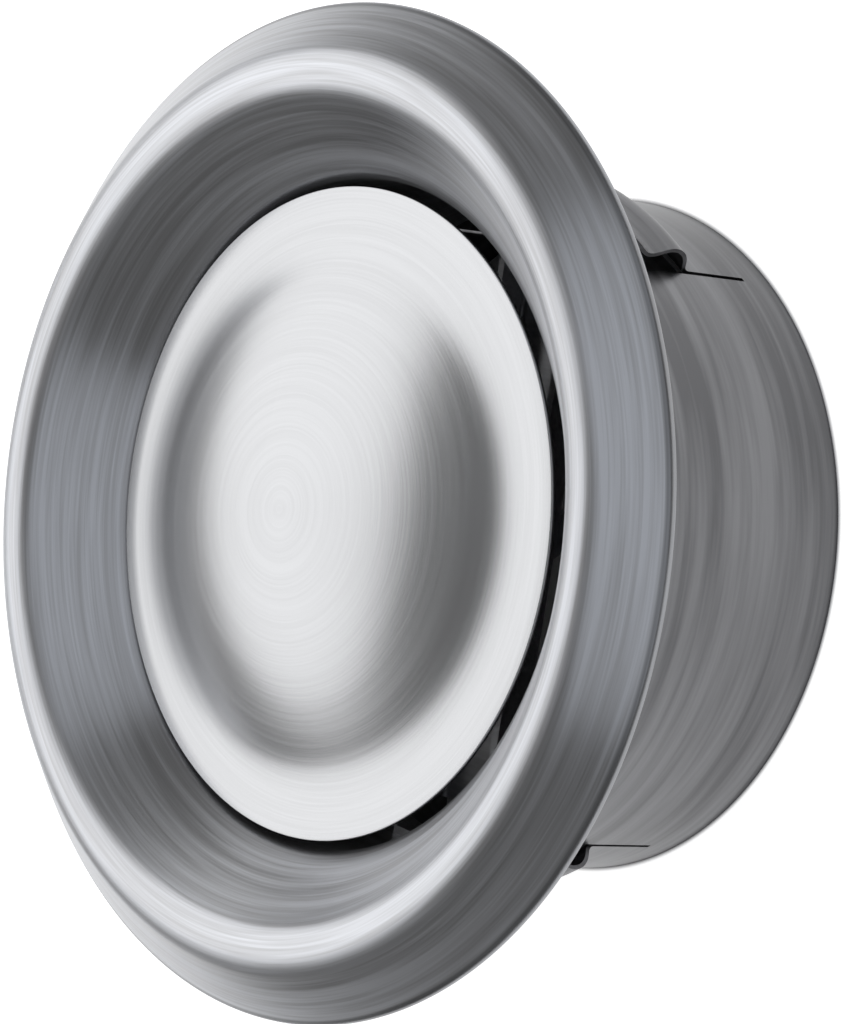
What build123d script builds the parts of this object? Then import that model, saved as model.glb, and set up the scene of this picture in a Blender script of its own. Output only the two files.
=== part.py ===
"""Spun steel disc valve for a 100 mm air duct, in a mounting collar with spring clips.

Axis on +Z, towards the room. The collar's back rim lies on z = 0, and the clips and the
bridge lie along Y. Sizes are in millimetres and degrees.
"""

import os
from math import asin, atan, atan2, cos, degrees, hypot, radians, sin, sqrt

from build123d import *

# Mounting collar: a plain spigot behind, and walls that lean in a little in front
collar_diameter = 98.0
collar_length = 46.2
collar_sheet = 0.6
collar_lean = 0.3

# Spring clips of the collar: S section, rise counted outwards from the sleeve
clip_span = 66.0
clip_crest_height = 20.5
clip_crest_rise = 3.5
clip_valley_rise = 2.2
clip_flank_length = 0.8
clip_slope_length = 1.75
clip_lip_length = 1.5
clip_lip_angle = 30.0
clip_base_radius = 1.2
clip_crest_radius = 3.6
clip_valley_radius = 2.4
slit_length = 10.6
slit_width = 0.7

# Valve ring
flange_diameter = 142.4
ring_sheet = 0.6
neck_overhang = 4.5
mouth_depth = 12.6
crest_radius = 5.5
throat_bend = 3.0
skirt_width = 10.2
rim_drop = 7.55
rim_radius = 0.8
rim_lip_width = 2.0

# Foam seal between the ring and the collar
seal_thickness = 2.5
seal_overlap = 2.0

# Valve disc, part open at rest
disc_recess = 9.8
disc_sheet = 0.7
dome_diameter = 86.0
dome_rise = 8.8
dome_foot_radius = 24.0

# Bridge: a pressed channel with a foot at each end
bridge_sheet = 1.2
bridge_width = 16.0
bridge_flange = 6.2
bridge_bend = 0.8
bridge_drop = 5.5
foot_rise = 4.0
foot_relief = 3.0

# Snap pins, from the bridge's feet into the clips
pin_shank_diameter = 3.2
pin_head_diameter = 5.0
pin_crown = 0.8
pin_rivet_height = 0.9

# Spindle and nuts
spindle_diameter = 6.0
spindle_tail = 3.5
spindle_chamfer = 0.8
nut_across_flats = 10.0
bridge_nut_height = 5.0
nut_pilot_diameter = 8.0
lock_nut_height = 3.2

# Disc hub
hub_flange_diameter = 22.0
hub_flange_thickness = 1.6
hub_boss_diameter = 12.0
hub_length = 13.0
hub_socket_depth = 11.0

# Clearances
neck_clearance = 0.8
disc_clearance = 1.25
snap_clearance = 0.3
socket_clearance = 0.3
thread_clearance = 0.05
nut_clearance = 0.05

# Radii worked out from the sizes
collar_radius = collar_diameter / 2
neck_radius = collar_radius - collar_sheet - neck_clearance
throat_radius = neck_radius - ring_sheet
mouth_width = flange_diameter / 2 - skirt_width - throat_radius
disc_radius = throat_radius - disc_clearance
pin_reach = collar_radius + clip_valley_rise - collar_sheet - snap_clearance
spindle_radius = spindle_diameter / 2
thread_bore = spindle_radius + thread_clearance

# Heights worked out from the sizes
throat_height = collar_length + seal_thickness
crest_height = throat_height + mouth_depth
disc_height = crest_height - disc_recess
pin_height = clip_crest_height
neck_end = pin_height - neck_overhang
web_front = pin_height - bridge_drop
web_back = web_front - bridge_sheet
lock_nut_back = web_back - nut_clearance - lock_nut_height

# The dome's crown, which the hub's flange fits
dome_turn = 2 * atan(dome_rise / (dome_diameter / 2))
crown_radius = dome_diameter / 2 / sin(dome_turn) - dome_foot_radius
dome_top = disc_height + dome_rise
hub_top = dome_top - disc_sheet
hub_bottom = hub_top - hub_length


def sheet_line(start, heading, steps, shift):
    """Edges through the steps, or parallel to them and shifted to the right.

    A step is a straight run (length, 0) or a bend (radius, turn), clockwise if positive.
    """
    tangent = Vector(sin(radians(heading)), cos(radians(heading)))
    point = Vector(start) + Vector(tangent.Y, -tangent.X) * shift
    edges = []
    for size, turn in steps:
        if turn == 0:
            edge = Line(point, point + tangent * size)
        else:
            radius = size - shift if turn > 0 else size + shift
            edge = JernArc(point, tangent, radius, -turn)
        edges.append(edge)
        point = edge @ 1
        tangent = edge % 1
    return edges


def sheet_section(start, heading, steps, sheet):
    """Section of a sheet to the right of a line of steps, or to the left if negative."""
    face_line = sheet_line(start, heading, steps, 0)
    back_line = sheet_line(start, heading, steps, sheet)
    first_end = Line(face_line[0] @ 0, back_line[0] @ 0)
    last_end = Line(face_line[-1] @ 1, back_line[-1] @ 1)
    return Plane.XZ * make_face([*face_line, *back_line, first_end, last_end])


def step_turn(radii, straight, rise):
    """Turn of two opposite bends, with a straight run between, that step aside by a rise."""
    return degrees(asin((rise - radii) / hypot(radii, straight)) + atan2(radii, straight))


def cone_between(first, second, across, up):
    """Heading and length of the straight run that joins two clockwise bends.

    The bends are given by their radii, and by how far the second's centre lies across and up.
    """
    apart = hypot(across, up)
    heading = atan2(across, up) - asin((second - first) / apart)
    return degrees(heading), sqrt(apart**2 - (second - first) ** 2)


def tube(outside, inside, low, high):
    """Round tube about the axis, from one height to another."""
    ring = Cylinder(outside, high - low) - Cylinder(inside, high - low)
    return Pos(0, 0, (low + high) / 2) * ring


def rod(radius, low, high):
    """Round bar on the axis, from one height to another."""
    return Pos(0, 0, (low + high) / 2) * Cylinder(radius, high - low)


def cross_rod(radius, near, far):
    """Round bar along Y at the pins' height, from one distance to another."""
    return Pos(0, (near + far) / 2, pin_height) * Rot(90, 0, 0) * Cylinder(radius, far - near)


def sector(section, span, middle):
    """Section turned about the axis through a span, with its middle at an angle from +X."""
    return Rot(0, 0, middle - span / 2) * revolve(section, Axis.Z, span)


def hex_nut(low, height):
    """Hexagon nut with chamfered corners and a threaded bore, with flats facing X."""
    corner_radius = nut_across_flats / sqrt(3)
    corner_width = corner_radius - nut_across_flats / 2
    outline = RegularPolygon(nut_across_flats / 2, 6, major_radius=False, rotation=30)
    crown = rod(corner_radius, 0, height)
    crown = chamfer(crown.edges().filter_by(GeomType.CIRCLE), corner_width / 2, corner_width)
    body = (extrude(outline, height) & crown) - rod(thread_bore, 0, height)
    return Pos(0, 0, low) * body


def mounting_collar():
    """Sleeve with two spring clips, each cut free by a slit at both ends."""
    climb_radii = clip_base_radius + clip_crest_radius
    climb = step_turn(climb_radii, clip_flank_length, clip_crest_rise)
    climb_height = climb_radii * sin(radians(climb)) + clip_flank_length * cos(radians(climb))
    fall_radii = clip_crest_radius + clip_valley_radius
    fall = step_turn(fall_radii, clip_slope_length, clip_crest_rise - clip_valley_rise)
    clip_base = clip_crest_height - climb_height
    slit_root = clip_base - slit_length

    clip_steps = [
        (slit_length, 0),
        (clip_base_radius, climb),
        (clip_flank_length, 0),
        (clip_crest_radius, -climb - fall),
        (clip_slope_length, 0),
        (clip_valley_radius, fall + clip_lip_angle),
        (clip_lip_length, 0),
    ]
    clip_section = sheet_section((collar_radius, slit_root), 0, clip_steps, -collar_sheet)

    inner_radius = collar_radius - collar_sheet
    wall_outline = Polyline(
        (collar_radius, slit_root),
        (collar_radius, clip_base),
        (collar_radius - collar_lean, collar_length),
        (inner_radius - collar_lean, collar_length),
        (inner_radius, clip_base),
        (inner_radius, slit_root),
        close=True,
    )
    wall_section = Plane.XZ * make_face(wall_outline.edges())

    slit_angle = degrees(slit_width / collar_radius)
    wall_span = 180 - clip_span - 2 * slit_angle
    collar = tube(collar_radius, inner_radius, 0, slit_root)
    for turn in (0, 180):
        collar = collar + sector(wall_section, wall_span, turn)
        collar = collar + sector(clip_section, clip_span, turn + 90)
    return collar


def valve_ring():
    """Spun ring: neck, conical mouth, rounded crest, conical skirt and rolled rim."""
    mouth_lean, mouth_length = cone_between(
        throat_bend, crest_radius, mouth_width - throat_bend, mouth_depth - crest_radius
    )
    skirt_lean, skirt_length = cone_between(
        crest_radius, rim_radius, skirt_width - rim_radius, crest_radius - rim_drop
    )
    ring_steps = [
        (throat_height - neck_end, 0),
        (throat_bend, mouth_lean),
        (mouth_length, 0),
        (crest_radius, skirt_lean - mouth_lean),
        (skirt_length, 0),
        (rim_radius, 270 - skirt_lean),
        (rim_lip_width, 0),
    ]
    ring = revolve(sheet_section((throat_radius, neck_end), 0, ring_steps, ring_sheet), Axis.Z)
    return ring - cross_rod(pin_shank_diameter / 2, -collar_radius, collar_radius)


def neck_seal():
    """Flat foam ring round the neck, on the collar's front edge."""
    return tube(collar_radius + seal_overlap, neck_radius, collar_length, throat_height)


def valve_disc():
    """Spun disc: dome, wide foot bend and flat border with a plain cut edge."""
    disc_steps = [
        (crown_radius, degrees(dome_turn)),
        (dome_foot_radius, -degrees(dome_turn)),
        (disc_radius - dome_diameter / 2, 0),
    ]
    return revolve(sheet_section((0, dome_top), 90, disc_steps, disc_sheet), Axis.Z)


def disc_hub():
    """Boss with a dished flange that fits behind the dome, and a socket for the spindle."""
    flange_radius = hub_flange_diameter / 2
    boss_radius = hub_boss_diameter / 2
    seat_radius = crown_radius - disc_sheet
    flange_top = hub_top - seat_radius + sqrt(seat_radius**2 - flange_radius**2)
    flange_back = flange_top - hub_flange_thickness
    seat = RadiusArc((0, hub_top), (flange_radius, flange_top), seat_radius)
    sides = Polyline(
        (flange_radius, flange_top),
        (flange_radius, flange_back),
        (boss_radius, flange_back),
        (boss_radius, hub_bottom),
        (0, hub_bottom),
        (0, hub_top),
    )
    hub = revolve(Plane.XZ * make_face([seat, *sides.edges()]), Axis.Z)
    return hub - rod(thread_bore, hub_bottom, hub_bottom + hub_socket_depth)


def bridge():
    """Channel bar across the neck, with its ends bent up into feet against the wall."""
    outer_bend = bridge_bend + bridge_sheet
    strap_width = bridge_width - 2 * outer_bend
    foot_top = pin_height + foot_rise
    pan_steps = [
        (throat_radius - outer_bend, 0),
        (outer_bend, -90),
        (foot_top - web_back - outer_bend, 0),
    ]
    pan = revolve(sheet_section((0, web_back), 90, pan_steps, -bridge_sheet), Axis.Z)
    strap = pan & Pos(0, 0, pin_height) * Box(strap_width, collar_diameter, collar_diameter)

    half_width = bridge_width / 2
    channel_steps = [
        (bridge_flange - outer_bend, 0),
        (outer_bend, -90),
        (strap_width, 0),
        (outer_bend, -90),
        (bridge_flange - outer_bend, 0),
    ]
    channel_start = (-half_width, web_back + bridge_flange)
    channel_section = sheet_section(channel_start, 180, channel_steps, -bridge_sheet)
    channel_reach = sqrt(throat_radius**2 - half_width**2) - outer_bend - foot_relief
    channel = extrude(channel_section, channel_reach, both=True)

    nut_hole = rod(nut_pilot_diameter / 2, web_back, web_front)
    pin_hole = cross_rod(pin_shank_diameter / 2, -collar_radius, collar_radius)
    return strap + channel - nut_hole - pin_hole


def snap_pins():
    """Two riveted pins with crowned heads that stand out into the clips."""
    head_radius = pin_head_diameter / 2
    rivet_seat = sqrt((throat_radius - bridge_sheet) ** 2 - head_radius**2)
    head = cross_rod(head_radius, neck_radius, pin_reach)
    head = fillet(head.edges().filter_by(GeomType.CIRCLE).sort_by(Axis.Y)[-1], pin_crown)
    shank = cross_rod(pin_shank_diameter / 2, rivet_seat, neck_radius)
    rivet = cross_rod(head_radius, rivet_seat - pin_rivet_height, rivet_seat)
    pin = head + shank + rivet
    return Compound([pin, Rot(0, 0, 180) * pin])


def bridge_nut():
    """Weld nut on the bridge, with a pilot in the bridge's hole."""
    pilot = tube(nut_pilot_diameter / 2, thread_bore, web_back, web_front)
    return hex_nut(web_front, bridge_nut_height) + pilot


def lock_nut():
    """Thin nut behind the bridge."""
    return hex_nut(lock_nut_back, lock_nut_height)


def spindle():
    """Rod from behind the lock nut to the hub's socket."""
    top = hub_bottom + hub_socket_depth - socket_clearance
    bar = rod(spindle_radius, lock_nut_back - spindle_tail, top)
    return chamfer(bar.edges().filter_by(GeomType.CIRCLE), spindle_chamfer)


pieces = {
    "mounting_collar": mounting_collar(),
    "valve_ring": valve_ring(),
    "neck_seal": neck_seal(),
    "valve_disc": valve_disc(),
    "disc_hub": disc_hub(),
    "bridge": bridge(),
    "snap_pins": snap_pins(),
    "bridge_nut": bridge_nut(),
    "spindle": spindle(),
    "lock_nut": lock_nut(),
}

os.makedirs("parts", exist_ok=True)
for name, piece in pieces.items():
    export_step(piece, f"parts/{name}.step")
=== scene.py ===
from math import asin, atan, atan2, ceil, cos, hypot, pi, radians, sin, sqrt

import bmesh
import bpy
from mathutils import Matrix, Vector


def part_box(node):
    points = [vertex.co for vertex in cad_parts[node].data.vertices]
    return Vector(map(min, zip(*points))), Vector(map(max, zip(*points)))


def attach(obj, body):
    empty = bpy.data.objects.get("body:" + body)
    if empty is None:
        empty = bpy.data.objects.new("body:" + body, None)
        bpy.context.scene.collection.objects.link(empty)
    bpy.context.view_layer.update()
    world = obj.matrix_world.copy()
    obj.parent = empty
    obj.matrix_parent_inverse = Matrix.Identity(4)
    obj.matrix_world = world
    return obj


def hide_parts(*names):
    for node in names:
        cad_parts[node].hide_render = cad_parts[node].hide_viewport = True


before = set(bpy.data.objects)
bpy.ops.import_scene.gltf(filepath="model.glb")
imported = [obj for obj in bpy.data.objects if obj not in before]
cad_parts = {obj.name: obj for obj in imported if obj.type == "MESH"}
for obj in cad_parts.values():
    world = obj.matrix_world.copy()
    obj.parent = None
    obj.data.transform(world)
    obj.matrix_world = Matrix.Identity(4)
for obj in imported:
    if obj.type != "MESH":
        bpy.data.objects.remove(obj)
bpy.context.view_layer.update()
ring_low, ring_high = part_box("valve_ring")
disc_low, disc_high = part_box("valve_disc")
seal_low, seal_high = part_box("neck_seal")
spindle_low, spindle_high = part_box("spindle")
hub_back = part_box("disc_hub")[0].z
collar_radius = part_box("mounting_collar")[1].x

# Camera: aimed at the axis at the height of the disc's border, then shifted in its own plane
camera_azimuth = radians(7.0)
camera_elevation = radians(41.3)
camera_roll = radians(85.52)
camera_distance = 0.651
camera_offset_right = 0.0131
camera_offset_up = 0.0001
camera_lens = 163.9
camera_reach = 50

# Studio
floor_radius = 8.0
floor_corners = 96
floor_color = (0.82, 0.82, 0.82, 1)
floor_glow = 0.86
glow_margin = 0.0006
glow_fade = (0.3, 1.3)
glow_far_share = 0.3
world_level = 0.14
softbox_distance = 1.2

# Sheet sizes of the CAD model, in metres
ring_sheet = 0.0006
mouth_width = 0.014
mouth_depth = 0.0126
crest_radius = 0.0055
throat_bend = 0.003
skirt_width = 0.0102
rim_drop = 0.00755
rim_radius = 0.0008
rim_lip_width = 0.002
lip_heading = radians(270)
disc_sheet = 0.0007
dome_diameter = 0.086
dome_foot_radius = 0.024

# Foam ring: how much of its half height is rounded
seal_round_share = 0.7
seal_round_steps = 8

# Spindle thread; each point of its form is a share of the pitch and a share of the depth
thread_pitch = 0.001
thread_depth = 0.0006
thread_form = ((0.0, 0), (0.12, 0), (0.5, 1), (0.62, 1))
spindle_chamfer = 1.5 * thread_depth

# Fineness of the turned meshes
segments = 288
bend_step = radians(4)
edge_round = 0.00012
thread_columns = 32
weld_distance = 1e-7
sharp_angle = radians(38)

# Brushed steel: fine lines, streaks and bands, by length and by how much coarser than the fine lines
fine_length = 0.02
streak_length = 0.036
streak_coarseness = 3
band_length = 0.08
band_coarseness = 10
line_detail = 2.0
band_detail = 1.0
streak_share = 0.5
pattern_span = (0.41, 0.59)
cloud_span = (0.35, 0.65)
brush_bump = 0.4
brush_anisotropy = 0.65
brush_quarter_turn = 0.25

# Painted shade on the outer edges of the brushed sheets, which dims their reflection
ring_shaded_rim_width = 0.0008
disc_shaded_rim_width = 0.0002
rim_shade_fade = 0.0003
rim_painted_shade = 0.55

# Zinc plating
zinc_dark = (0.44, 0.45, 0.47)
zinc_light = (0.62, 0.63, 0.66)
zinc_rough = (0.42, 0.26)
zinc_span = (0.3, 0.7)
zinc_cloud_scale = 420.0
zinc_cloud_detail = 4.0
zinc_grain_scale = 5200.0
zinc_grain_detail = 2.0
zinc_bump = 0.3
zinc_relief = 0.00003

# Black foam
foam_dark = (0.01, 0.01, 0.01)
foam_light = (0.05, 0.05, 0.052)
foam_rough = 0.92
foam_span = (0.1, 0.8)
foam_cell_scale = 2200.0
foam_bump = 0.8
foam_relief = 0.0002


def direction(azimuth, elevation):
    """Unit vector from the valve towards an azimuth, from +X, and an elevation."""
    flat = cos(elevation)
    return Vector((flat * cos(azimuth), flat * sin(azimuth), sin(elevation)))


def add_camera():
    """Camera of the photograph, rolled so that the valve's axis lies nearly level in the picture."""
    back = direction(camera_azimuth, camera_elevation)
    level = Vector((-sin(camera_azimuth), cos(camera_azimuth), 0))
    rise = back.cross(level)
    right = level * cos(camera_roll) - rise * sin(camera_roll)
    up = level * sin(camera_roll) + rise * cos(camera_roll)
    camera = bpy.data.objects.new("camera", bpy.data.cameras.new("camera"))
    camera.data.lens = camera_lens
    camera.data.clip_end = camera_reach
    camera.matrix_world = Matrix((right, up, back)).transposed().to_4x4()
    camera.location = Vector((0, 0, disc_low.z + disc_sheet))
    camera.location += back * camera_distance
    camera.location += right * camera_offset_right + up * camera_offset_up
    bpy.context.scene.collection.objects.link(camera)
    bpy.context.scene.camera = camera


def add_softbox(name, azimuth, elevation, width, height, twist, radiance, color):
    """Soft oval lamp that faces the valve, turned in its own plane, as bright as the radiance."""
    lamp = bpy.data.lights.new(name, "AREA")
    lamp.shape = "ELLIPSE"
    lamp.size = width
    lamp.size_y = height
    area = pi / 4 * width * height
    lamp.energy = radiance * pi * area
    lamp.color = color
    box = bpy.data.objects.new(name, lamp)
    towards = direction(azimuth, elevation)
    box.location = towards * softbox_distance
    facing = towards.to_track_quat("Z", "Y").to_matrix()
    box.rotation_euler = (facing @ Matrix.Rotation(twist, 3, "Z")).to_euler()
    bpy.context.scene.collection.objects.link(box)


def add_world():
    """Dim even light from all round."""
    world = bpy.data.worlds.new("studio")
    world.use_nodes = True
    background = world.node_tree.nodes["Background"]
    background.inputs["Color"].default_value = (1, 1, 1, 1)
    background.inputs["Strength"].default_value = world_level
    bpy.context.scene.world = world


class Shader:
    """A material's node tree, with short ways to add and join nodes."""

    def __init__(self, name):
        self.material = bpy.data.materials.new(name)
        self.material.use_nodes = True
        self.tree = self.material.node_tree
        self.tree.nodes.clear()

    def add(self, kind, values=None, **settings):
        """New node with its settings, and with values or links on its inputs."""
        node = self.tree.nodes.new("ShaderNode" + kind)
        for key, value in settings.items():
            setattr(node, key, value)
        for key, value in (values or {}).items():
            if isinstance(value, bpy.types.NodeSocket):
                self.tree.links.new(value, node.inputs[key])
            else:
                node.inputs[key].default_value = value
        return node

    def math(self, operation, first, second):
        """Result of an operation on sockets or numbers."""
        return self.add("Math", {0: first, 1: second}, operation=operation).outputs[0]

    def vector(self, operation, first, second):
        """Result of an operation on vectors."""
        return self.add("VectorMath", {0: first, 1: second}, operation=operation).outputs[0]

    def length(self, vector):
        """Length of a vector."""
        return self.add("VectorMath", {0: vector}, operation="LENGTH").outputs["Value"]

    def blend(self, first, second, share):
        """Sum of a share of the first value and the rest of the second."""
        part = self.math("MULTIPLY", first, share)
        rest = self.math("MULTIPLY", second, 1 - share)
        return self.math("ADD", part, rest)

    def ramp(self, factor, span, low, high):
        """Colour that goes from low to high while a factor crosses a span."""
        node = self.add("ValToRGB", {"Fac": factor})
        for element, position, color in zip(node.color_ramp.elements, span, (low, high)):
            element.position = position
            element.color = (*color, 1)
        return node.outputs["Color"]

    def spread(self, value, span, low, high):
        """Number that goes from low to high while a value crosses a span, and is held there."""
        ends = {"From Min": span[0], "From Max": span[1], "To Min": low, "To Max": high}
        return self.add("MapRange", {"Value": value, **ends}).outputs["Result"]

    def finish(self, surface):
        """The material, with its surface joined to the output."""
        self.add("OutputMaterial", {"Surface": surface.outputs[0]})
        return self.material


def floor_white():
    """Pale floor that takes a shadow, and glows outside the collar for rays that show it."""
    shader = Shader("floor_white")
    place = shader.add("TexCoord").outputs["Object"]
    radius = shader.length(place)
    outside = shader.spread(radius, (collar_radius, collar_radius + glow_margin), 0, floor_glow)
    near = shader.spread(radius, glow_fade, 1, glow_far_share)
    level = shader.math("MULTIPLY", outside, near)
    path = shader.add("LightPath").outputs
    seen = shader.math("MAXIMUM", path["Is Camera Ray"], path["Is Glossy Ray"])
    seen = shader.math("MAXIMUM", seen, path["Is Transmission Ray"])
    glow = shader.add("Emission", {"Strength": shader.math("MULTIPLY", seen, level)})
    paint = shader.add("BsdfDiffuse", {"Color": floor_color})
    return shader.finish(shader.add("AddShader", {0: paint.outputs[0], 1: glow.outputs[0]}))


def add_floor():
    """Large pale disc under the valve."""
    bpy.ops.mesh.primitive_circle_add(vertices=floor_corners, radius=floor_radius, fill_type="NGON")
    floor = bpy.context.object
    floor.name = "floor"
    floor.data.materials.append(floor_white())


def brushed_steel(name, light, dark, rough, grain, fine_share, relief, rim=None):
    """Spun steel: lines round the valve's axis in colour, roughness and relief.

    rough is the range of roughness, and grain how many lines lie on a metre of the profile.
    rim is the radius beyond which the colour is darkened, a painted shade that dims the reflection of
    the edge.
    """
    shader = Shader(name)
    place = shader.add("TexCoord").outputs["Object"]
    height = shader.add("SeparateXYZ", {0: place}).outputs["Z"]
    flat = shader.vector("MULTIPLY", place, (1, 1, 0))
    radius = shader.length(flat)

    def lines(per_metre, length, detail):
        """Noise drawn out round the axis, into lines of about a length."""
        swept = shader.vector("DIVIDE", flat, (length, length, 1))
        across = shader.add("CombineXYZ", {"Z": shader.math("MULTIPLY", radius, per_metre)}).outputs[0]
        noise = {
            "Vector": shader.vector("ADD", swept, across),
            "W": shader.math("MULTIPLY", height, per_metre),
            "Scale": 1.0,
            "Detail": detail,
        }
        return shader.add("TexNoise", noise, noise_dimensions="4D").outputs["Fac"]

    fine = lines(grain, fine_length, line_detail)
    streaks = lines(grain / streak_coarseness, streak_length, line_detail)
    bands = lines(grain / band_coarseness, band_length, band_detail)
    cloud = shader.blend(streaks, bands, streak_share)
    pattern = shader.blend(fine, cloud, fine_share)
    color = shader.ramp(pattern, pattern_span, dark, light)
    # Painted shade: beyond the rim radius the colour is darkened, dimming the edge's reflection
    if rim:
        painted_edge_shade = shader.spread(radius, (rim, rim + rim_shade_fade), 1, rim_painted_shade)
        color = shader.add("VectorMath", {0: color, "Scale": painted_edge_shade}, operation="SCALE").outputs[0]
    bump = {"Height": fine, "Strength": brush_bump, "Distance": relief}
    steel = {
        "Base Color": color,
        "Metallic": 1.0,
        "Roughness": shader.spread(cloud, cloud_span, *rough),
        "Anisotropic": brush_anisotropy,
        "Anisotropic Rotation": brush_quarter_turn,
        "Tangent": shader.add("Tangent", direction_type="RADIAL", axis="Z").outputs[0],
        "Normal": shader.add("Bump", bump).outputs["Normal"],
    }
    return shader.finish(shader.add("BsdfPrincipled", steel))


def zinc():
    """Turned steel with thin zinc plating: cloudy, a little blue, and finely grained."""
    shader = Shader("fixing_zinc")
    place = shader.add("TexCoord").outputs["Object"]
    clouds = {"Vector": place, "Scale": zinc_cloud_scale, "Detail": zinc_cloud_detail}
    cloud = shader.add("TexNoise", clouds).outputs["Fac"]
    grains = {"Vector": place, "Scale": zinc_grain_scale, "Detail": zinc_grain_detail}
    grain = shader.add("TexNoise", grains).outputs["Fac"]
    bump = {"Height": grain, "Strength": zinc_bump, "Distance": zinc_relief}
    plating = {
        "Base Color": shader.ramp(cloud, zinc_span, zinc_dark, zinc_light),
        "Metallic": 1.0,
        "Roughness": shader.spread(cloud, zinc_span, *zinc_rough),
        "Normal": shader.add("Bump", bump).outputs["Normal"],
    }
    return shader.finish(shader.add("BsdfPrincipled", plating))


def foam():
    """Black closed-cell foam."""
    shader = Shader("foam_black")
    place = shader.add("TexCoord").outputs["Object"]
    cells = shader.add("TexVoronoi", {"Vector": place, "Scale": foam_cell_scale}).outputs["Distance"]
    bump = {"Height": cells, "Strength": foam_bump, "Distance": foam_relief}
    skin = {
        "Base Color": shader.ramp(cells, foam_span, foam_dark, foam_light),
        "Roughness": foam_rough,
        "Normal": shader.add("Bump", bump).outputs["Normal"],
    }
    return shader.finish(shader.add("BsdfPrincipled", skin))


def cone_between(first, second, across, up):
    """Heading and length of the straight run that joins two clockwise bends."""
    apart = hypot(across, up)
    return atan2(across, up) - asin((second - first) / apart), sqrt(apart**2 - (second - first) ** 2)


def profile_line(start, heading, steps, shift):
    """Points along straight runs (length, 0) and bends (radius, turn), shifted to the right."""
    point = Vector(start) + Vector((cos(heading), -sin(heading))) * shift
    points = [point]
    for size, turn in steps:
        if turn == 0:
            point = point + Vector((sin(heading), cos(heading))) * size
            points.append(point)
            continue
        radius = size - shift if turn > 0 else size + shift
        side = radius if turn > 0 else -radius
        centre = point + Vector((cos(heading), -sin(heading))) * side
        count = ceil(abs(turn) / bend_step)
        for index in range(1, count + 1):
            angle = heading + turn * index / count
            point = centre - Vector((cos(angle), -sin(angle))) * side
            points.append(point)
        heading += turn
    return points


def cut_edge(inner, end, across):
    """Points that round the two corners where a sheet's line ends in a square cut."""
    along = (end - inner).normalized()
    over = across.normalized()
    far = end + across
    corner = edge_round * (1 - sqrt(0.5))
    return [
        end - along * edge_round,
        end - along * corner + over * corner,
        end + over * edge_round,
        far - over * edge_round,
        far - along * corner - over * corner,
        far - along * edge_round,
    ]


def sheet_loop(start, heading, steps, sheet):
    """Closed section of a sheet, on the right of its line, with its cut edges rounded."""
    front = profile_line(start, heading, steps, 0)
    back = profile_line(start, heading, steps, sheet)
    loop = front[1:-1] + cut_edge(front[-2], front[-1], back[-1] - front[-1]) + back[-2:0:-1]
    if front[0].x == 0:
        return [front[0], *loop, back[0]]
    return loop + cut_edge(back[1], back[0], front[0] - back[0])


def add_piece(name, points, faces, body, slot, node, material):
    """Smooth mesh that rides on a body and stands for a CAD node."""
    shell = bmesh.new()
    corners = [shell.verts.new(point) for point in points]
    for face in faces:
        shell.faces.new([corners[index] for index in face])
    bmesh.ops.remove_doubles(shell, verts=shell.verts, dist=weld_distance)
    bmesh.ops.dissolve_degenerate(shell, edges=shell.edges, dist=weld_distance)
    bmesh.ops.holes_fill(shell, edges=shell.edges)
    bmesh.ops.recalc_face_normals(shell, faces=shell.faces)
    mesh = bpy.data.meshes.new(name)
    shell.to_mesh(mesh)
    shell.free()
    mesh.materials.append(material)
    mesh.shade_smooth()
    mesh.set_sharp_from_angle(angle=sharp_angle)
    piece = bpy.data.objects.new(name, mesh)
    bpy.context.scene.collection.objects.link(piece)
    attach(piece, body)
    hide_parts(node)


def wrap(rows):
    """Points and faces of a skin round the axis; a row has a radius and a height for each column."""
    columns = len(rows[0])
    points = []
    faces = []
    for row in rows:
        for index, (radius, height) in enumerate(row):
            angle = 2 * pi * index / (columns - 1)
            points.append((radius * cos(angle), radius * sin(angle), height))
    for first in range(0, len(points) - columns, columns):
        for index in range(first, first + columns - 1):
            faces.append((index, index + 1, index + columns + 1, index + columns))
    return points, faces


def turned(loop):
    """Skin of a closed section turned about the axis."""
    return wrap([[tuple(spot)] * (segments + 1) for spot in loop + loop[:1]])


def spun_ring(material):
    """Valve ring: neck, conical mouth, rounded crest, conical skirt and rolled rim."""
    throat_radius = ring_high.x - skirt_width - mouth_width
    throat_height = ring_high.z - mouth_depth
    mouth_lean, mouth_length = cone_between(
        throat_bend, crest_radius, mouth_width - throat_bend, mouth_depth - crest_radius
    )
    skirt_lean, skirt_length = cone_between(
        crest_radius, rim_radius, skirt_width - rim_radius, crest_radius - rim_drop
    )
    steps = [
        (throat_height - ring_low.z, 0),
        (throat_bend, mouth_lean),
        (mouth_length, 0),
        (crest_radius, skirt_lean - mouth_lean),
        (skirt_length, 0),
        (rim_radius, lip_heading - skirt_lean),
        (rim_lip_width, 0),
    ]
    loop = sheet_loop((throat_radius, ring_low.z), 0, steps, ring_sheet)
    add_piece("spun_ring", *turned(loop), "valve", "ring_steel", "valve_ring", material)


def spun_disc(material):
    """Valve disc: dome, wide foot bend and flat border."""
    dome_radius = dome_diameter / 2
    border_height = disc_low.z + disc_sheet
    dome_turn = 2 * atan((disc_high.z - border_height) / dome_radius)
    crown_radius = dome_radius / sin(dome_turn) - dome_foot_radius
    steps = [
        (crown_radius, dome_turn),
        (dome_foot_radius, -dome_turn),
        (disc_high.x - dome_radius, 0),
    ]
    loop = sheet_loop((0, disc_high.z), pi / 2, steps, disc_sheet)
    add_piece("spun_disc", *turned(loop), "disc", "disc_steel", "valve_disc", material)


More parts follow.
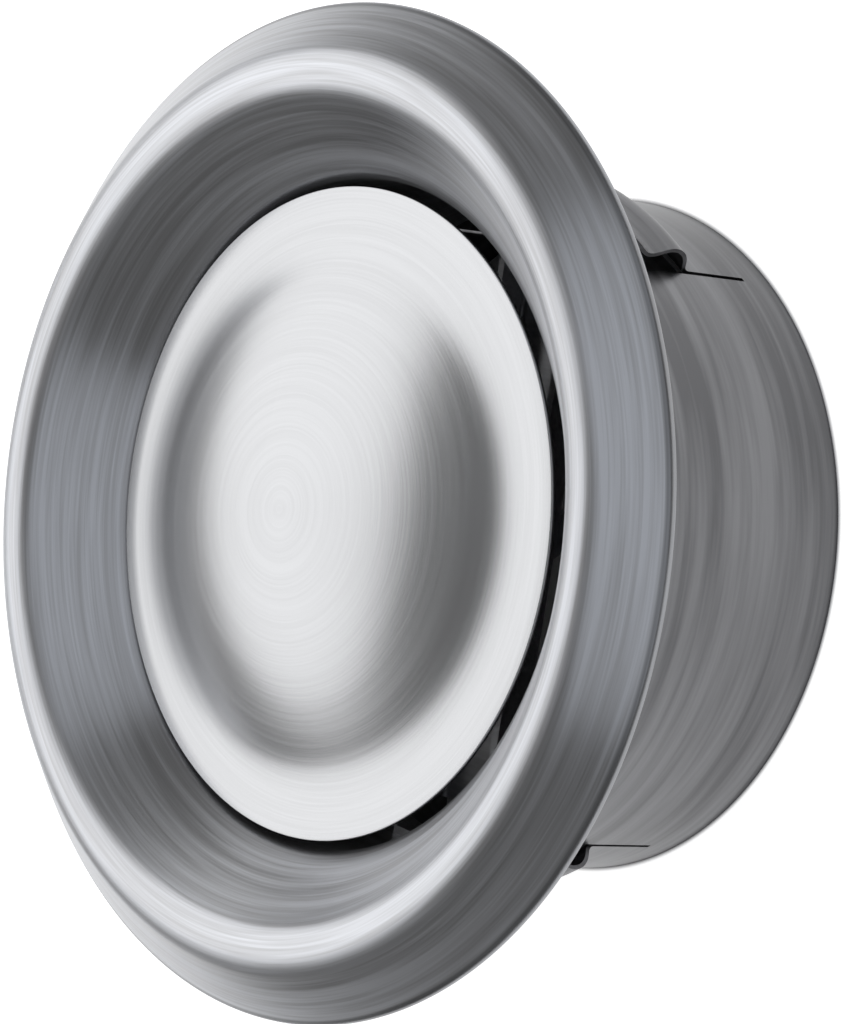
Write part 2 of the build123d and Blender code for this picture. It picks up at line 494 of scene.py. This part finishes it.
def foam_seal(material):
    """Foam ring with a rounded outer edge, between the collar and the ring."""
    throat_radius = ring_high.x - skirt_width - mouth_width
    inner = throat_radius + ring_sheet
    middle = (seal_low.z + seal_high.z) / 2
    half = (seal_high.z - seal_low.z) / 2
    round_radius = half * seal_round_share
    outer_centre = seal_high.x - round_radius
    loop = []
    for sign in (1, -1):
        for index in range(seal_round_steps + 1):
            share = index / seal_round_steps
            angle = pi / 2 * (share if sign < 0 else 1 - share)
            rise = sign * (half - round_radius + round_radius * sin(angle))
            loop.append(Vector((outer_centre + round_radius * cos(angle), middle + rise)))
    loop.append(Vector((inner, seal_low.z)))
    loop.append(Vector((inner, seal_high.z)))
    add_piece("foam_seal", *turned(loop), "valve", "seal_foam", "neck_seal", material)


def threaded_spindle(material):
    """Spindle with a right-hand thread as far as the hub, and a plain end in its socket."""
    crest = spindle_high.x
    chamfer = crest - spindle_chamfer
    thread_end = hub_back - thread_pitch
    turns = ceil((thread_end - spindle_low.z) / thread_pitch) + 1
    rows = []
    for turn in range(-1, turns):
        for level, depth in thread_form:
            row = []
            for index in range(thread_columns + 1):
                height = spindle_low.z + thread_pitch * (turn + level + index / thread_columns)
                height = min(max(height, spindle_low.z), thread_end)
                taper = chamfer + min(height - spindle_low.z, thread_end - height)
                row.append((min(crest - depth * thread_depth, taper), height))
            rows.append(row)
    plain_start = thread_end + thread_depth
    plain_end = spindle_high.z - thread_depth
    for radius, height in ((crest, plain_start), (crest, plain_end), (chamfer, spindle_high.z)):
        rows.append([(radius, height)] * (thread_columns + 1))
    add_piece("threaded_spindle", *wrap(rows), "spindle", "fixing_steel", "spindle", material)


add_camera()
add_world()
add_floor()
add_softbox(
    "key",
    azimuth=radians(176),
    elevation=radians(43),
    width=1.85,
    height=1.32,
    twist=radians(18),
    radiance=1.35,
    color=(1, 1, 1),
)
add_softbox(
    "fill",
    azimuth=radians(24),
    elevation=radians(54),
    width=2.3,
    height=1.1,
    twist=0,
    radiance=0.45,
    color=(0.89, 0.93, 1),
)

ring_steel = brushed_steel(
    "ring_brushed",
    light=(0.625, 0.637, 0.668),
    dark=(0.45, 0.453, 0.466),
    rough=(0.28, 0.37),
    grain=3000,
    fine_share=0.35,
    relief=0.00003,
    # painted shade on the outer edge of the rolled rim
    rim=ring_high.x - ring_shaded_rim_width,
)
disc_steel = brushed_steel(
    "disc_brushed",
    light=(0.55, 0.555, 0.567),
    dark=(0.515, 0.519, 0.53),
    rough=(0.205, 0.235),
    grain=4200,
    fine_share=0.4,
    relief=0.00001,
    # painted shade on the disc's cut edge
    rim=disc_high.x - disc_shaded_rim_width,
)
collar_steel = brushed_steel(
    "collar_brushed",
    light=(0.235, 0.236, 0.244),
    dark=(0.125, 0.125, 0.13),
    rough=(0.32, 0.42),
    grain=1500,
    fine_share=0.15,
    relief=0.00002,
)
bridge_steel = brushed_steel(
    "bridge_rolled",
    light=(0.58, 0.585, 0.6),
    dark=(0.46, 0.465, 0.48),
    rough=(0.3, 0.4),
    grain=2000,
    fine_share=0.3,
    relief=0.00002,
)
fixing_zinc = zinc()

spun_ring(ring_steel)
spun_disc(disc_steel)
foam_seal(foam())
threaded_spindle(fixing_zinc)
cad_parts["mounting_collar"].data.materials[0] = collar_steel
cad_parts["bridge"].data.materials[0] = bridge_steel
for node in ("snap_pins", "bridge_nut", "lock_nut", "disc_hub"):
    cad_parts[node].data.materials[0] = fixing_zinc

bpy.context.scene.view_settings.view_transform = "Standard"
